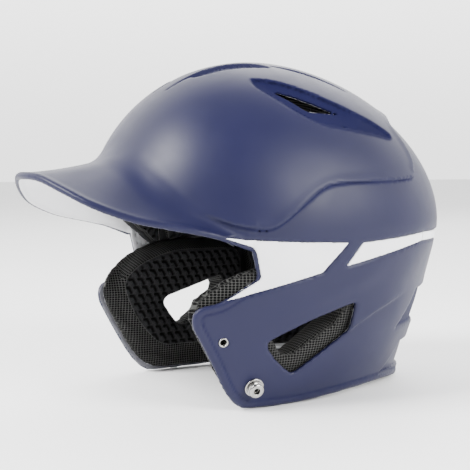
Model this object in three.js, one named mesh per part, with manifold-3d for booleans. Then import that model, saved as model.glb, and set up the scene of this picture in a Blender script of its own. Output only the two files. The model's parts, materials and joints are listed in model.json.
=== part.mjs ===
// Double-flap batting helmet: one moulded shell with a brim and two ear flaps, contrast inlays,
// a foam liner, fabric comfort pads on hook patches, chin strap snaps and faceguard nuts.
// Millimetres. The brim points to -Y, the wearer's left is +X, +Z is up and the lower edge rests on z = 0.
import * as THREE from "three";
import { mergeVertices } from "three/addons/utils/BufferGeometryUtils.js";
import Module from "manifold-3d";

const wasm = await Module();
wasm.setup();

// The hull: superellipse sections whose half-breadth, front and rear reach change with height.
const WAIST_Z = 110; // height of the widest section
const CROWN_RISE = 104; // the crown above the widest section
const HALF_BREADTH = { waist: 103, base: 69 };
const FRONT_REACH = { waist: 126.8, base: 144.8 };
const REAR_REACH = { waist: 112.8, base: 134.5 };
const CENTRE_Y = { waist: 31, base: -10, crown: 13 };
const FRONT_POWER = { waist: 2.2, base: 1.7 };
const REAR_POWER = { waist: 2.2, base: 2.1 };
const CROWN_POWER = 1.9; // roundness of the crown's upright profile
const FLAP_TAPER_POWER = 1.5; // how late the flaps draw in below the waist

// Thicknesses and depths below the hull's outer surface.
const WALL = 3.2;
const GAP = 0.3;
const INNER_SPOT_FACE = -WALL + 0.3; // flat seats for the rivet heads and nut flanges
const INLAY = { top: 0.2, bottom: 1.0, seat: 1.3 };
const LINER = { top: 4.0, bottom: 11.0 };
const LINER_PATCH = { top: 11.4, bottom: 12.4 };
const PAD = { top: 12.8, bottom: 21.5 };
const FLAP_PATCH = { top: 3.6, bottom: 4.6 };
const FLAP_PAD_TOP = 5.0;
const FLAP_CORE_TOP = 5.3;
const FLAP_PAD_FACE_X = 60; // the flap pad's flat face, beside the cheek
const FLAP_PAD_COVER = 4; // padding between that face and the foam core

// The brim's lower edge and its root on the hull, from the centre to the temple.
const BRIM_THICKNESS = 3.2;
const BRIM_EDGE = [
  [0, -143.5, 138],
  [20, -140.3, 136.5],
  [39, -132.6, 129.6],
  [55, -121, 121.3],
  [66, -102, 113.5],
  [75, -84, 109.3],
  [83, -62, 104.6],
  [88.9, -36.4, 96.3],
];
const BRIM_ROOT = [
  [0, -93, 149],
  [16, -91, 148],
  [31, -86, 144.5],
  [44, -81.5, 137.5],
  [56, -76, 129.5],
  [67, -69, 122],
  [80, -55, 114],
  [90.4, -36.4, 109],
];

// Side outlines as [y, z, corner radius].
const FACE_OPENING = [
  [-220, -6, 0],
  [-16, -6, 0],
  [-16, -2, 0],
  [-38.4, 0, 20],
  [-72.9, 62.2, 14],
  [-54, 66.4, 4],
  [-32.6, 80.4, 2],
  [-36.4, 96.3, 0],
  [-220, 96.3, 0],
];
// The lower edge lifts a little between its front and rear rests.
const BASE_ARCH = [
  [-6, -1, 0],
  [84, 6, 36],
  [122, -1, 0],
];
const EAR_HOLE = [
  [-24.5, 41.5, 4],
  [2, 54.2, 20],
  [33.8, 63.4, 3],
  [32, 45, 3],
  [-3, 20.3, 4],
  [-17, 31, 8],
];
const SIDE_VENT = [
  [-5, 191, 2],
  [12, 187.5, 10],
  [34, 176.3, 2],
  [13, 177, 8],
];
const TEMPLE_INLAY = [
  [-34, 102.8, 0],
  [23, 100.3, 0],
  [6.3, 82.7, 0],
  [-51, 67.3, 0],
  [-30, 81, 2],
];
const SIDE_INLAY = [
  [33, 100.2, 0],
  [60, 102, 0],
  [88.5, 104.3, 0],
  [88.5, 98.3, 0],
  [71.6, 95.5, 0],
  [45, 90.4, 0],
  [22, 85.6, 0],
];
const REAR_INLAY = { y: 88.8, z: [98.3, 104.3] };
const BROW_PAD = [
  [-140, 152, 0],
  [-70, 150, 8],
  [-50, 111, 20],
  [-27, 92, 6],
  [-16, 93, 4],
  [-16, 150, 20],
  [-36, 184, 8],
  [-140, 184, 0],
];
const SIDE_PAD = [
  [-12, 98, 8],
  [54, 98, 10],
  [54, 166, 14],
  [-12, 166, 14],
];
const REAR_PAD = [
  [52, 22, 0],
  [52, 86, 0],
  [60, 96, 0],
  [66, 156, 0],
  [180, 156, 0],
  [180, 22, 0],
];
const FLAP_PAD = [
  [-67, 67, 10],
  [-46, 81, 12],
  [-12, 91, 12],
  [46, 91, 12],
  [46, 9, 12],
  [-22, 9, 14],
  [-50, 31, 20],
];
const FLAP_PAD_HOLE = [
  [-22, 51, 4],
  [26, 66, 5],
  [27, 54, 5],
  [-8, 31.5, 4],
];
// In plan, as [x, y, corner radius].
const CROWN_PAD = [
  [-42, -26, 16],
  [42, -26, 16],
  [42, 66, 24],
  [-42, 66, 24],
];
const BROW_PATCH = { x: [-30, 30], y: [-120, 0], z: [154, 172] };
const REAR_PATCH = { x: [-26, 26], y: [60, 180], z: [70, 120] };
const PATCH_SCALE = 0.35; // a hook patch's outline against its pad's
const CORE_SCALE = { outer: 0.84, hole: 1.3 }; // the flap foam against the flap pad
const POCKET_SCALE = { outer: 0.85, hole: 1.27 };
const FLAP_PATCHES = {
  upper: { y: [-38, -8], z: [64, 78] },
  lower: { y: [-14, 26], z: [11, 17] },
};

// Hardware places on the flap as [y, z], and sizes.
const SNAP_PLACE = [-27.4, 14.2];
const NUT_PLACE = [-50.2, 43.1];
const SNAP = {
  holeRadius: 2.6,
  rivetRadius: 2.3,
  rivetBore: 1.4,
  rivetHeadRadius: 5,
  washerRadius: 6,
  washerThickness: 1.1,
  neckRadius: 3.2,
  headRadius: 4.65,
  headBore: 2.0,
  rise: 5.2,
};
const NUT = { radius: 2.7, bore: 1.6, flangeRadius: 6, flange: 1.0, recess: 0.5 };

// Mesh density.
const FINE = { around: 48, below: 7, above: 10 };
const COARSE = { around: 28, below: 5, above: 7 };
const BRIM_STATIONS = 30;
const ROUND_SEGMENTS = 16;
const CORNER_SEGMENTS = 3;
const SLIVER = 0.02; // faces thinner than this are merged away once a body's cuts are done
const REACH = 160; // far enough to pass any side of the helmet

const FINISH = {
  shell: { color: 0x474c70, roughness: 0.5, metalness: 0 },
  inlay: { color: 0xf0f0f2, roughness: 0.4, metalness: 0 },
  foam: { color: 0x3a3a3c, roughness: 0.95, metalness: 0 },
  patch: { color: 0x222224, roughness: 1, metalness: 0 },
  fabric: { color: 0x161617, roughness: 0.9, metalness: 0 },
  nickel: { color: 0xd0cfca, roughness: 0.25, metalness: 1 },
};

const mix = (a, b, t) => a + (b - a) * t;

// One horizontal section of the hull: its front and rear halves meet at the widest line.
function section(z) {
  const rise = Math.min(Math.max((z - WAIST_Z) / CROWN_RISE, 0), 0.99999);
  const drop = Math.min(Math.max((WAIST_Z - z) / WAIST_Z, 0), 1.3) ** FLAP_TAPER_POWER;
  const closing = (1 - rise ** CROWN_POWER) ** (1 / CROWN_POWER);
  const half = (reach, power) => ({
    reach: mix(reach.waist, reach.base, drop) * closing,
    power: mix(power.waist, power.base, drop),
  });
  return {
    breadth: mix(HALF_BREADTH.waist, HALF_BREADTH.base, drop) * closing,
    centre: mix(CENTRE_Y.waist, CENTRE_Y.base, drop) + (CENTRE_Y.crown - CENTRE_Y.waist) * rise ** 2,
    front: half(FRONT_REACH, FRONT_POWER),
    rear: half(REAR_REACH, REAR_POWER),
  };
}

const halfAt = (s, y) => (y < s.centre ? s.front : s.rear);

// 1 on the hull's outer surface, less inside it.
function hullValue(x, y, z) {
  const s = section(z);
  const { reach, power } = halfAt(s, y);
  return Math.abs(x / s.breadth) ** power + Math.abs((y - s.centre) / reach) ** power;
}

function hullNormal(p) {
  const step = 0.02;
  const slope = (dx, dy, dz) =>
    hullValue(p.x + dx, p.y + dy, p.z + dz) - hullValue(p.x - dx, p.y - dy, p.z - dz);
  return new THREE.Vector3(slope(step, 0, 0), slope(0, step, 0), slope(0, 0, step)).normalize();
}

// A point of the outer surface at a height, turned from +X towards +Y by the angle.
function hullPoint(angle, z) {
  const s = section(z);
  const { reach, power } = Math.sin(angle) < 0 ? s.front : s.rear;
  const sum = Math.abs(Math.cos(angle)) ** power + Math.abs(Math.sin(angle)) ** power;
  const size = sum ** (-1 / power);
  return new THREE.Vector3(
    s.breadth * size * Math.cos(angle),
    s.centre + reach * size * Math.sin(angle),
    z
  );
}

// The left side's point of the outer surface at a given y and height.
function sidePoint(y, z) {
  const s = section(z);
  const { reach, power } = halfAt(s, y);
  const rest = 1 - Math.abs((y - s.centre) / reach) ** power;
  return new THREE.Vector3(s.breadth * rest ** (1 / power), y, z);
}

// Heights of the hull's rings, from below the base to just under the crown.
function ringHeights(density) {
  const start = -30;
  const heights = [];
  for (let i = 0; i < density.below; i++) {
    heights.push(mix(start, WAIST_Z, i / density.below));
  }
  for (let i = 0; i < density.above; i++) {
    const turn = (i / density.above) * (Math.PI / 2);
    heights.push(WAIST_Z + CROWN_RISE * Math.sin(turn) ** (2 / CROWN_POWER));
  }
  return heights;
}

function geometryOf(positions, triangles) {
  const geometry = new THREE.BufferGeometry();
  geometry.setAttribute("position", new THREE.Float32BufferAttribute(positions, 3));
  geometry.setIndex(triangles);
  return geometry;
}

// Joins closed loops of points, all turning the same way, and closes each end on a middle point.
function loft(loops, startPoint, endPoint) {
  const count = loops[0].length;
  const positions = loops.flat().flatMap((p) => [p.x, p.y, p.z]);
  const triangles = [];
  for (let row = 0; row + 1 < loops.length; row++) {
    for (let i = 0; i < count; i++) {
      const next = (i + 1) % count;
      const low = row * count;
      const high = low + count;
      triangles.push(low + i, low + next, high + next, low + i, high + next, high + i);
    }
  }
  const middle = (loop) =>
    loop.reduce((sum, p) => sum.add(p), new THREE.Vector3()).divideScalar(count);
  const last = (loops.length - 1) * count;
  const start = startPoint ?? middle(loops[0]);
  const end = endPoint ?? middle(loops[loops.length - 1]);
  positions.push(start.x, start.y, start.z, end.x, end.y, end.z);
  const startIndex = loops.length * count;
  for (let i = 0; i < count; i++) {
    const next = (i + 1) % count;
    triangles.push(startIndex, next, i);
    triangles.push(startIndex + 1, last + i, last + next);
  }
  return geometryOf(positions, triangles);
}

function solid(geometry) {
  const bare = geometry.clone();
  bare.deleteAttribute("normal");
  bare.deleteAttribute("uv");
  const merged = mergeVertices(bare, 1e-4);
  return new wasm.Manifold(
    new wasm.Mesh({
      numProp: 3,
      vertProperties: new Float32Array(merged.attributes.position.array),
      triVerts: new Uint32Array(merged.index.array),
    })
  );
}

function meshGeometry(body) {
  const mesh = body.asOriginal().simplify(SLIVER).getMesh();
  return geometryOf(Array.from(mesh.vertProperties), Array.from(mesh.triVerts));
}

// Everything within a depth below the outer surface; a negative depth stands proud of it.
const bowls = new Map();
function bowl(depth, density) {
  const key = `${depth}/${density.around}`;
  if (!bowls.has(key)) {
    const loops = ringHeights(density).map((z) => {
      const loop = [];
      for (let i = 0; i < density.around; i++) {
        const point = hullPoint((i / density.around) * 2 * Math.PI, z);
        loop.push(point.addScaledVector(hullNormal(point), -depth));
      }
      return loop;
    });
    const crown = new THREE.Vector3(0, CENTRE_Y.crown, WAIST_Z + CROWN_RISE - depth);
    bowls.set(key, solid(loft(loops, null, crown)));
  }
  return bowls.get(key);
}

const layer = (depths, density) => bowl(depths.top, density).subtract(bowl(depths.bottom, density));

// A closed outline with rounded corners, sized about its own middle.
function outline(corners, scale = 1) {
  const given = corners.map(([a, b]) => new THREE.Vector2(a, b));
  const middle = given.reduce((sum, p) => sum.add(p), new THREE.Vector2()).divideScalar(given.length);
  const points = corners.map(([a, b]) =>
    new THREE.Vector2(a, b).sub(middle).multiplyScalar(scale).add(middle)
  );
  const shape = new THREE.Shape();
  points.forEach((corner, i) => {
    const radius = corners[i][2] * scale;
    const towards = (neighbour) => neighbour.clone().sub(corner).setLength(radius).add(corner);
    const start = towards(points[(i + points.length - 1) % points.length]);
    const end = towards(points[(i + 1) % points.length]);
    const move = i === 0 ? "moveTo" : "lineTo";
    shape[move](start.x, start.y);
    if (radius > 0) {
      shape.quadraticCurveTo(corner.x, corner.y, end.x, end.y);
    }
  });
  shape.closePath();
  return shape;
}

// A side outline carried along X from one place to another.
function sidePrism(shape, fromX = 20, toX = REACH) {
  const geometry = new THREE.ExtrudeGeometry(shape, {
    depth: toX - fromX,
    bevelEnabled: false,
    curveSegments: CORNER_SEGMENTS,
  });
  const yzx = new THREE.Matrix4().makeBasis(
    new THREE.Vector3(0, 1, 0),
    new THREE.Vector3(0, 0, 1),
    new THREE.Vector3(1, 0, 0)
  );
  geometry.applyMatrix4(yzx);
  geometry.translate(fromX, 0, 0);
  return solid(geometry);
}

function planPrism(shape, fromZ, toZ) {
  const options = { depth: toZ - fromZ, bevelEnabled: false, curveSegments: CORNER_SEGMENTS };
  const geometry = new THREE.ExtrudeGeometry(shape, options);
  geometry.translate(0, 0, fromZ);
  return solid(geometry);
}

function block([x0, x1], [y0, y1], [z0, z1]) {
  const geometry = new THREE.BoxGeometry(x1 - x0, y1 - y0, z1 - z0);
  geometry.translate((x0 + x1) / 2, (y0 + y1) / 2, (z0 + z1) / 2);
  return solid(geometry);
}

const bothSides = (body) => body.add(body.mirror([1, 0, 0]));

// A smooth curve over both sides, given from the centre to the left temple.
function mirroredCurve(points) {
  const left = points.map(([x, y, z]) => new THREE.Vector3(x, y, z));
  const right = left.slice(1).reverse().map((p) => new THREE.Vector3(-p.x, p.y, p.z));
  return new THREE.CatmullRomCurve3([...right, ...left], false, "centripetal");
}

// Brim stations: the root, the lower edge and the outward normal between them.
function brimStations() {
  const edge = mirroredCurve(BRIM_EDGE);
  const root = mirroredCurve(BRIM_ROOT);
  const stations = [];
  for (let i = 0; i <= BRIM_STATIONS; i++) {
    const t = i / BRIM_STATIONS;
    const edgePoint = edge.getPoint(t);
    const rootPoint = root.getPoint(t);
    const across = edgePoint.clone().sub(rootPoint);
    const normal = across.clone().cross(edge.getTangent(t)).normalize();
    stations.push({ edge: edgePoint, root: rootPoint, normal });
  }
  return stations;
}

// The brim as a curved plate whose inner end is buried in the wall.
function brimPlate(stations) {
  const burial = { top: 1.4, bottom: 2.6, rise: 9 };
  const loops = stations.map(({ edge, root, normal }) => {
    const anchor = nearestHullPoint(root, burial.rise);
    const inward = hullNormal(anchor).negate();
    const topEdge = edge.clone().addScaledVector(normal, BRIM_THICKNESS);
    const lowRoot = root.clone().addScaledVector(normal, -BRIM_THICKNESS);
    return [
      anchor.clone().addScaledVector(inward, burial.top),
      root,
      root.clone().lerp(topEdge, 0.4),
      topEdge,
      edge,
      lowRoot.clone().lerp(edge, 0.4),
      lowRoot,
      anchor.clone().addScaledVector(inward, burial.bottom),
    ];
  });
  return solid(loft(loops));
}

// The point of the outer surface above a root point, in the same direction from the axis.
function nearestHullPoint(root, rise) {
  const s = section(root.z);
  const angle = Math.atan2((root.y - s.centre) / halfAt(s, root.y).reach, root.x / s.breadth);
  return hullPoint(angle, root.z + rise);
}

// The space under the brim, which clears the hull's wall below the brim's root.
function underBrim(stations) {
  const reach = 14;
  const floorZ = 88;
  const kept = 2.5; // wall left below the root, buried in the brim's plate
  const loops = stations.map(({ edge, root, normal }) => {
    const down = edge.clone().sub(root).setLength(kept);
    const rootMid = root.clone().add(down).addScaledVector(normal, -BRIM_THICKNESS / 2);
    const edgeMid = edge.clone().addScaledVector(normal, BRIM_THICKNESS / 2);
    const away = hullNormal(root).setZ(0).normalize();
    const outside = edgeMid.clone().addScaledVector(away, reach).setZ(edge.z);
    const inside = rootMid.clone().addScaledVector(away, -reach);
    const lowInside = inside.clone().setZ(floorZ);
    const lowOutside = outside.clone().setZ(floorZ);
    return [inside, rootMid, edgeMid, outside, lowOutside, lowInside];
  });
  return solid(loft(loops));
}

function cylinderAlong(place, direction, radius, from, to) {
  const geometry = new THREE.CylinderGeometry(radius, radius, to - from, ROUND_SEGMENTS);
  geometry.translate(0, (from + to) / 2, 0);
  geometry.applyQuaternion(new THREE.Quaternion().setFromUnitVectors(THREE.Object3D.DEFAULT_UP, direction));
  geometry.translate(place.x, place.y, place.z);
  return solid(geometry);
}

function shellBody() {
  const stations = brimStations();
  const aboveGround = block([-REACH, REACH], [-2 * REACH, 2 * REACH], [0, 2 * REACH]);
  let body = layer({ top: 0, bottom: WALL }, FINE).intersect(aboveGround);
  body = body.subtract(sidePrism(outline(FACE_OPENING), -REACH));
  body = body.subtract(sidePrism(outline(BASE_ARCH), -REACH));
  body = body.subtract(underBrim(stations));
  body = body.add(brimPlate(stations));
  body = body.subtract(bothSides(sidePrism(outline(EAR_HOLE))));
  body = body.subtract(bothSides(sidePrism(outline(SIDE_VENT))));
  for (const seat of inlaySeats()) {
    body = body.subtract(seat);
  }
  const snap = sidePoint(...SNAP_PLACE);
  const nut = sidePoint(...NUT_PLACE);
  const snapAxis = hullNormal(snap);
  const nutAxis = hullNormal(nut);
  const holes = [
    cylinderAlong(snap, snapAxis, SNAP.holeRadius, -8, 4),
    cylinderAlong(snap, snapAxis, SNAP.washerRadius + GAP, -0.5, 4),
    cylinderAlong(snap, snapAxis, SNAP.rivetHeadRadius + GAP, -8, INNER_SPOT_FACE),
    cylinderAlong(nut, nutAxis, NUT.radius + GAP, -8, 4),
    cylinderAlong(nut, nutAxis, NUT.flangeRadius + GAP, -8, INNER_SPOT_FACE),
  ];
  for (const hole of holes) {
    body = body.subtract(bothSides(hole));
  }
  return body;
}

// Shallow seats for the inlays, and the inlays themselves.
function inlayZones() {
  return {
    temple: sidePrism(outline(TEMPLE_INLAY)),
    side: sidePrism(outline(SIDE_INLAY)),
    rear: block([-REACH, REACH], [REAR_INLAY.y, REACH], REAR_INLAY.z),
  };
}

function inlaySeats() {
  const skin = layer({ top: -1, bottom: INLAY.seat }, FINE);
  const zones = inlayZones();
  return [
    skin.intersect(bothSides(zones.temple)),
    skin.intersect(bothSides(zones.side)),
    skin.intersect(zones.rear),
  ];
}

const helmet = new THREE.Group();

function addPart(name, body, finish, group = helmet) {
  const geometry = body instanceof THREE.BufferGeometry ? body : meshGeometry(body);
  geometry.computeVertexNormals();
  const mesh = new THREE.Mesh(geometry, new THREE.MeshStandardMaterial({ ...finish }));
  mesh.name = name;
  group.add(mesh);
  return mesh;
}

// The left and right pieces that a zone on the left, and its mirror image, cut from one solid.
function addPair(name, whole, zone, finish) {
  addPart(`${name}_left`, whole.intersect(zone), finish);
  addPart(`${name}_right`, whole.intersect(zone.mirror([1, 0, 0])), finish);
}

// An outline drawn in by a distance on every side.
function shrunk(corners, by) {
  const points = corners.map(([a, b]) => new THREE.Vector2(a, b));
  const turning = THREE.ShapeUtils.isClockWise(points) ? -1 : 1;
  return points.map((corner, i) => {
    const before = points[(i + points.length - 1) % points.length];
    const after = points[(i + 1) % points.length];
    const back = before.clone().sub(corner).normalize();
    const ahead = after.clone().sub(corner).normalize();
    const halfTurnSine = Math.sqrt((1 - back.dot(ahead)) / 2);
    const inward = Math.sign(ahead.cross(back)) * turning;
    const step = back.add(ahead).setLength(by / halfTurnSine).multiplyScalar(inward);
    return [corner.x + step.x, corner.y + step.y, corners[i][2]];
  });
}

function addInlays() {
  const skin = layer({ top: INLAY.top, bottom: INLAY.bottom }, FINE);
  const rearSpan = [REAR_INLAY.y + GAP, REACH];
  const rearHeight = [REAR_INLAY.z[0] + GAP, REAR_INLAY.z[1] - GAP];
  addPair("temple_inlay", skin, sidePrism(outline(shrunk(TEMPLE_INLAY, GAP))), FINISH.inlay);
  addPair("side_inlay", skin, sidePrism(outline(shrunk(SIDE_INLAY, GAP))), FINISH.inlay);
  addPart("rear_inlay", skin.intersect(block([-REACH, REACH], rearSpan, rearHeight)), FINISH.inlay);
}

// Foam liner, hook patch and fabric pad of one place, all within the same zone.
function addLinedPad(name, zone, patchZone) {
  addPart(`${name}_liner`, layer(LINER, COARSE).intersect(zone), FINISH.foam);
  addPart(`${name}_hook_patch`, layer(LINER_PATCH, COARSE).intersect(patchZone), FINISH.patch);
  addPart(`${name}_pad`, layer(PAD, COARSE).intersect(zone), FINISH.fabric);
}

function addHeadPads() {
  const crown = planPrism(outline(CROWN_PAD), WAIST_Z, 2 * REACH);
  const crownPatch = planPrism(outline(CROWN_PAD, PATCH_SCALE), WAIST_Z, 2 * REACH);
  const browPatch = block(BROW_PATCH.x, BROW_PATCH.y, BROW_PATCH.z);
  const rearPatch = block(REAR_PATCH.x, REAR_PATCH.y, REAR_PATCH.z);
  addLinedPad("brow", sidePrism(outline(BROW_PAD), -REACH), browPatch);
  addLinedPad("rear", sidePrism(outline(REAR_PAD), -REACH), rearPatch);
  addLinedPad("crown", crown, crownPatch);
  const side = sidePrism(outline(SIDE_PAD));
  const sidePatch = sidePrism(outline(SIDE_PAD, PATCH_SCALE));
  addPair("side_liner", layer(LINER, COARSE), side, FINISH.foam);
  addPair("side_hook_patch", layer(LINER_PATCH, COARSE), sidePatch, FINISH.patch);
  addPair("side_pad", layer(PAD, COARSE), side, FINISH.fabric);
}

function addFlapPads() {
  const coreX = FLAP_PAD_FACE_X + FLAP_PAD_COVER;
  const ringZone = (scale, holeScale, fromX) =>
    sidePrism(outline(FLAP_PAD, scale), fromX).subtract(sidePrism(outline(FLAP_PAD_HOLE, holeScale), 0));
  const pocket = ringZone(POCKET_SCALE.outer, POCKET_SCALE.hole, coreX);
  const core = ringZone(CORE_SCALE.outer, CORE_SCALE.hole, coreX + GAP);
  const ring = ringZone(1, 1, FLAP_PAD_FACE_X).subtract(pocket);
  addPair("flap_pad", bowl(FLAP_PAD_TOP, COARSE), ring, FINISH.fabric);
  addPair("flap_foam", bowl(FLAP_CORE_TOP, COARSE), core, FINISH.foam);
  for (const [name, place] of Object.entries(FLAP_PATCHES)) {
    const zone = block([40, REACH], place.y, place.z);
    addPair(`flap_${name}_hook_patch`, layer(FLAP_PATCH, COARSE), zone, FINISH.patch);
  }
}

// A ring or cup turned about the hardware's own axis, which is +Y in a lathe.
const turned = (profile) =>
  new THREE.LatheGeometry(profile.map(([r, h]) => new THREE.Vector2(r, h)), ROUND_SEGMENTS);

function hardwareGroup([y, z], side) {
  const place = sidePoint(y, z);
  const axis = hullNormal(place);
  const group = new THREE.Group();
  group.position.set(place.x * side, place.y, place.z);
  axis.x *= side;
  group.quaternion.setFromUnitVectors(THREE.Object3D.DEFAULT_UP, axis);
  helmet.add(group);
  return group;
}

function snapProfiles() {
  const base = -0.2; // the washer's underside in its seat
  const top = base + SNAP.washerThickness;
  const inside = INNER_SPOT_FACE - GAP;
  return {
    washer: [
      [SNAP.rivetRadius + GAP, base],
      [SNAP.washerRadius, base],
      [SNAP.washerRadius, top - 0.3],
      [SNAP.washerRadius - 0.5, top],
      [SNAP.rivetRadius + GAP, top],
      [SNAP.rivetRadius + GAP, base],
    ],
    stud: [
      [SNAP.rivetRadius + GAP, top + GAP],
      [SNAP.neckRadius + 0.8, top + GAP],
      [SNAP.neckRadius, top + 1],
      [SNAP.neckRadius, SNAP.rise - 2.2],
      [SNAP.headRadius, SNAP.rise - 1.5],
      [SNAP.headRadius, SNAP.rise - 0.9],
      [SNAP.headRadius - 0.7, SNAP.rise],
      [SNAP.headBore, SNAP.rise],
      [SNAP.headBore, SNAP.rise - 1.2],
      [SNAP.rivetRadius + GAP, SNAP.rise - 1.6],
      [SNAP.rivetRadius + GAP, top + GAP],
    ],
    rivet: [
      [SNAP.rivetBore, inside - 1],
      [SNAP.rivetHeadRadius - 0.4, inside - 1],
      [SNAP.rivetHeadRadius, inside - 0.6],
      [SNAP.rivetHeadRadius, inside],
      [SNAP.rivetRadius, inside],
      [SNAP.rivetRadius, SNAP.rise - 2.0],
      [SNAP.rivetBore, SNAP.rise - 2.0],
      [SNAP.rivetBore, inside - 1],
    ],
  };
}

function nutProfile() {
  const inside = INNER_SPOT_FACE - GAP;
  return [
    [NUT.bore, inside - NUT.flange],
    [NUT.flangeRadius, inside - NUT.flange],
    [NUT.flangeRadius, inside],
    [NUT.radius, inside],
    [NUT.radius, -NUT.recess],
    [NUT.bore, -NUT.recess],
    [NUT.bore, inside - NUT.flange],
  ];
}

function addHardware() {
  const snap = snapProfiles();
  for (const [name, side] of [["left", 1], ["right", -1]]) {
    const snapGroup = hardwareGroup(SNAP_PLACE, side);
    addPart(`chin_snap_washer_${name}`, turned(snap.washer), FINISH.nickel, snapGroup);
    addPart(`chin_snap_stud_${name}`, turned(snap.stud), FINISH.nickel, snapGroup);
    addPart(`chin_snap_rivet_${name}`, turned(snap.rivet), FINISH.nickel, snapGroup);
    addPart(`faceguard_nut_${name}`, turned(nutProfile()), FINISH.nickel, hardwareGroup(NUT_PLACE, side));
  }
}

addPart("shell", shellBody(), FINISH.shell);
addInlays();
addHeadPads();
addFlapPads();
addHardware();

export default helmet;
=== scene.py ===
"""Looks of a double-flap batting helmet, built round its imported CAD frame.

Shapes are worked out in millimetres, in the frame's axes, and scaled to metres when a mesh is made.
"""

import json
import math

import bpy
import numpy as np
from mathutils import Matrix, Vector


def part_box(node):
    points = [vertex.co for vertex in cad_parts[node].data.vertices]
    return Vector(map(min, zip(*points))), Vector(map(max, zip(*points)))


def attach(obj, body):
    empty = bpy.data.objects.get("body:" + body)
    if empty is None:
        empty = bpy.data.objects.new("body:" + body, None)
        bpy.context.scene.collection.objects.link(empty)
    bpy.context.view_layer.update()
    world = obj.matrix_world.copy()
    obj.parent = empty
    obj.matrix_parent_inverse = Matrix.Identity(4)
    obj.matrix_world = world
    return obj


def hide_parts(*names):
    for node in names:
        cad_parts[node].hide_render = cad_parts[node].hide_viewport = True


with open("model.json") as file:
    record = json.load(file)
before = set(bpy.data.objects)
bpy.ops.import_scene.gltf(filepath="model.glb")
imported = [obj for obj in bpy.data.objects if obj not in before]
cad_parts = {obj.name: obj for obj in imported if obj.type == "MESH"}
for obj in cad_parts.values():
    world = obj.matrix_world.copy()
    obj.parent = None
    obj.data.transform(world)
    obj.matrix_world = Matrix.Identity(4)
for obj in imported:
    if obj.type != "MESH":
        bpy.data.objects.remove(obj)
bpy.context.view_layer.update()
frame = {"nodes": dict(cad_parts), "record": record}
MM = 0.001

# The hull, with the same driving numbers as the CAD.
WAIST_Z, CROWN_RISE = 110, 104
HALF_BREADTH = (103, 69)
FRONT_REACH, REAR_REACH = (126.8, 144.8), (112.8, 134.5)
FRONT_POWER, REAR_POWER = (2.2, 1.7), (2.2, 2.1)
CENTRE_Y, CROWN_Y = (31, -10), 13
CROWN_POWER, FLAP_TAPER_POWER = 1.9, 1.5
WALL = 3.2
BRIM_THICKNESS = 3.2
BRIM_EDGE = [(0, -143.5, 138), (20, -140.3, 136.5), (39, -132.6, 129.6), (55, -121, 121.3),
             (66, -102, 113.5), (75, -84, 109.3), (83, -62, 104.6), (88.9, -36.4, 96.3)]
BRIM_ROOT = [(0, -93, 149), (16, -91, 148), (31, -86, 144.5), (44, -81.5, 137.5),
             (56, -76, 129.5), (67, -69, 122), (80, -55, 114), (90.4, -36.4, 109)]
BRIM_HUB_Y = -20  # the brim is measured round an upright axis here
BRIM_END_Y = -36.4  # the brim runs out into the temple here
BRIM_SAG, RIM_PULL, RIM_DROP, RIM_RADIUS = 1.2, 1.5, 0.3, (1.75, 2.2)
BRIM_CUT_DROP, BRIM_CUT_LOW_Z = 2.5, 88  # the wall is open under the brim from its root down to this height
BRIM_BLEND = (1.5, 11)  # how softly the brim joins the dome: below and at the temple, and above at the front

# Side outlines as (y, z, corner radius).
FACE_OPENING = [(-220, -9, 0), (-14, -9, 0), (-14, -1, 0), (-38.4, 0, 20), (-66.4, 51, 0), (-67.8, 56, 3),
                (-67, 60.7, 3), (-64, 64.1, 3), (-59, 65.5, 0), (-54, 66.4, 4), (-32.6, 80.4, 3),
                (-36.4, 96.3, 0), (-220, 96.3, 0)]
BASE_ARCH = [(-6, -9, 0), (-6, -1, 0), (84, 6, 36), (122, -1, 0), (122, -9, 0)]
EAR_HOLE = [(-24.5, 41.5, 4), (2, 54.2, 20), (33.8, 63.4, 3), (32, 45, 3), (-3, 20.3, 4), (-17, 31, 8)]
VENT_SLOT = [(-4, 190.5, 1), (7, 188, 3), (20.5, 182.5, 3), (33.5, 176.6, 1), (21, 177.6, 4), (12, 177.5, 4),
             (5, 184, 3)]
VENT_RECESS = [(-13, 198, 2), (0, 197, 8), (16, 191, 8), (37, 181, 8), (57, 172, 6), (69.5, 164.5, 3), (66, 162.5, 3),
               (51, 165, 4), (31.5, 168, 4), (16, 170, 6), (4, 176, 6), (-7, 186, 6), (-14, 193, 3)]
LEDGE = [(-70, 106), (-57, 105), (-39.5, 103), (-12, 101.4), (23, 100.2), (33, 100.2), (60, 102), (81, 103.8),
         (105, 104.6), (150, 104.6)]
BAND = [(-75, 122, 0), (-63, 118, 4), (-50, 112, 4), (-36, 109, 4), (-27, 108.8, 4), (-21, 112.4, 4), (-14, 118, 4),
        (-6, 124.6, 3), (2, 130.6, 3), (9, 134, 4), (20, 135.4, 4), (39, 136, 4), (62, 136.7, 4), (80, 138.4, 2),
        (85.5, 149, 3), (84, 158, 6), (78, 172, 4), (96, 186, 0), (150, 170, 0), (150, 96, 0), (-75, 96, 0)]
TEMPLE_INLAY = [(-57.5, 105.4, 0), (-39.5, 103.2, 0), (-12, 101.6, 0), (23, 100.4, 0), (6.3, 82.7, 0), (-51.5, 67.5, 0),
                (-31, 80.5, 2), (-34.6, 97.8, 4)]
REAR_STRIPE = {"z": 101.3, "half": 3, "y": 88.4}
SEAT_DEPTH, INLAY_SINK, INLAY_GAP = 1.5, 0.2, 0.12
SIDE_INLAY = [(33, 100, 0), (60, 101.8, 0), (88.5, 104.1, 0), (88.5, 98.3, 0), (71.6, 95.5, 0), (45, 90.4, 0),
              (22, 85.6, 0)]
CREASE = [(31.7, 45), (40, 50), (51, 56), (63.6, 61), (78, 66)]
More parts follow.
